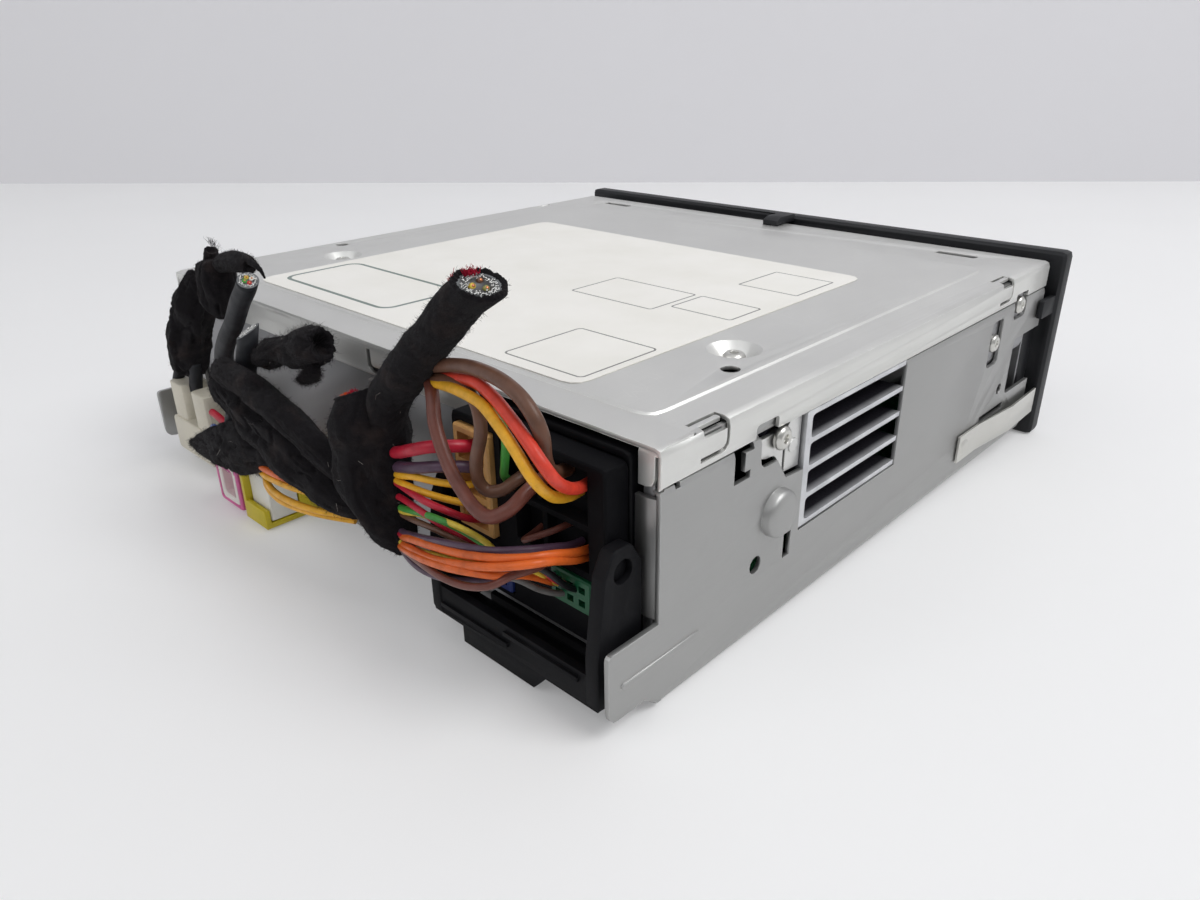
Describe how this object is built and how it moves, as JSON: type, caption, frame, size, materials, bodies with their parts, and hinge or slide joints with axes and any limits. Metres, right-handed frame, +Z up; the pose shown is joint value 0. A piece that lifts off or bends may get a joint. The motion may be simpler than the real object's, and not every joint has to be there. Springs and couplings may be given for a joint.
{
  "type": "car navigation radio",
  "caption": "Single-DIN car radio in a plated steel case with a disc slot drive, side heat sink, latched multi-pocket plug and a cut-off taped harness.",
  "frame": {"origin": "middle of the footprint of the object without its cords, level with the lower edge of the front bezel", "axes": "+X to the right seen from the front, +Y from the fascia towards the rear plugs, +Z up"},
  "size_m": [0.1832, 0.2023, 0.0797],
  "materials": {
    "tray_steel": "zinc-plated, satin",
    "cover_steel": "zinc-plated, bright satin",
    "panel_steel": "zinc-plated, satin",
    "label_paper": "matte printed film, no wording",
    "screw_steel": "zinc-plated",
    "cast_aluminium": "as cast, milled fin edges",
    "bracket_steel": "bright zinc",
    "spring_steel": "polished spring steel",
    "black_plastic": "fine grain moulding",
    "plug_plastic": "smooth moulding",
    "felt": "felt",
    "tan_plastic": "moulded",
    "blue_plastic": "moulded",
    "green_plastic": "moulded",
    "cream_plastic": "moulded",
    "magenta_plastic": "moulded",
    "yellow_plastic": "moulded",
    "circuit_board": "solder mask and components",
    "damper_rubber": "soft rubber",
    "motor_steel": "plated",
    "lead_screw_steel": "rolled thread",
    "dark_plastic": "moulded",
    "cloth_tape": "fleece harness tape",
    "grey_jacket": "soft cable jacket",
    "brown_insulation": "wire insulation",
    "red_insulation": "wire insulation",
    "yellow_insulation": "wire insulation",
    "orange_insulation": "wire insulation",
    "green_insulation": "wire insulation, mixed colours"
  },
  "bodies": {
    "case": {"chassis_tray": "tray_steel", "top_cover": "cover_steel", "rear_panel": "panel_steel", "front_plate": "panel_steel", "drive_frame": "panel_steel", "mechanism_plate": "panel_steel", "rating_label": "label_paper", "cover_screw_1": "screw_steel", "cover_screw_2": "screw_steel", "heat_sink_screw": "screw_steel", "drive_screw_right_1": "screw_steel", "drive_screw_right_2": "screw_steel", "drive_screw_left_1": "screw_steel", "drive_screw_left_2": "screw_steel", "heat_sink": "cast_aluminium", "heat_sink_bracket": "bracket_steel", "leaf_spring_right": "spring_steel", "leaf_spring_left": "spring_steel", "front_bezel": "black_plastic", "connector_header": "black_plastic", "plug_housing": "plug_plastic", "dust_curtain": "felt", "tan_insert": "tan_plastic", "blue_insert": "blue_plastic", "green_insert": "green_plastic", "white_connector": "cream_plastic", "yellow_insert": "cream_plastic", "magenta_connector": "magenta_plastic", "yellow_connector": "yellow_plastic", "main_board": "circuit_board", "rubber_damper_1": "damper_rubber", "rubber_damper_2": "damper_rubber", "rubber_damper_3": "damper_rubber", "spindle_motor": "motor_steel", "sled_motor": "motor_steel", "loading_motor": "motor_steel", "guide_rod": "motor_steel", "taped_main_branch": "cloth_tape", "taped_cross_bundle": "cloth_tape", "taped_loop": "cloth_tape", "taped_stub": "cloth_tape", "antenna_cable_long": "grey_jacket", "antenna_cable_short": "grey_jacket", "brown_wire_1": "brown_insulation", "brown_wire_2": "brown_insulation", "red_power_wire": "red_insulation", "speaker_wire_red": "red_insulation", "speaker_wire_yellow": "yellow_insulation", "yellow_wires": "yellow_insulation", "orange_wires": "orange_insulation", "signal_wires": "green_insulation"},
    "eject_button": {"eject_button": "plug_plastic"},
    "lock_lever": {"lock_lever": "black_plastic"},
    "feed_roller": {"feed_roller": "damper_rubber"},
    "loading_pinion": {"loading_pinion": "cream_plastic"},
    "turntable": {"turntable": "dark_plastic"},
    "pickup_sled": {"pickup_sled": "dark_plastic"},
    "lead_screw": {"lead_screw": "lead_screw_steel"},
    "clamp_arm": {"clamp_arm": "panel_steel"},
    "clamp_puck": {"clamp_puck": "cream_plastic"}
  },
  "joints": [
    {"name": "eject_press", "type": "slide", "parent": "case", "child": "eject_button", "axis": [0, 1, 0], "range_m": [0, 0.0012], "stiffness_N_per_m": 300},
    {"name": "lever_swing", "type": "hinge", "parent": "case", "child": "lock_lever", "pos_m": [0, 0.0864, 0.03295], "axis": [1, 0, 0], "range_deg": [0, 12]},
    {"name": "roller_spin", "type": "hinge", "parent": "case", "child": "feed_roller", "pos_m": [0, -0.0731, 0.03395], "axis": [1, 0, 0], "continuous": true},
    {"name": "pinion_spin", "type": "hinge", "parent": "case", "child": "loading_pinion", "pos_m": [-0.057, -0.06547, 0.02918], "axis": [1, 0, 0], "continuous": true},
    {"name": "disc_spin", "type": "hinge", "parent": "case", "child": "turntable", "pos_m": [0, -0.0151, 0.03395], "axis": [0, 0, 1], "continuous": true},
    {"name": "sled_travel", "type": "slide", "parent": "case", "child": "pickup_sled", "axis": [1, 0, 0], "range_m": [0, 0.032]},
    {"name": "screw_turn", "type": "hinge", "parent": "case", "child": "lead_screw", "pos_m": [0.03, -0.0331, 0.03355], "axis": [1, 0, 0], "range_deg": [0, 2880]},
    {"name": "clamp_lift", "type": "hinge", "parent": "case", "child": "clamp_arm", "pos_m": [0, 0.0189, 0.04135], "axis": [-1, 0, 0], "range_deg": [0, 6]},
    {"name": "puck_spin", "type": "hinge", "parent": "clamp_arm", "child": "clamp_puck", "pos_m": [0, -0.0151, 0.04095], "axis": [0, 0, 1], "continuous": true}
  ],
  "couplings": [
    {"joint": "pinion_spin", "follows": "roller_spin", "ratio": -2},
    {"joint": "screw_turn", "follows": "sled_travel", "rad_per_m": 1570.8}
  ]
}
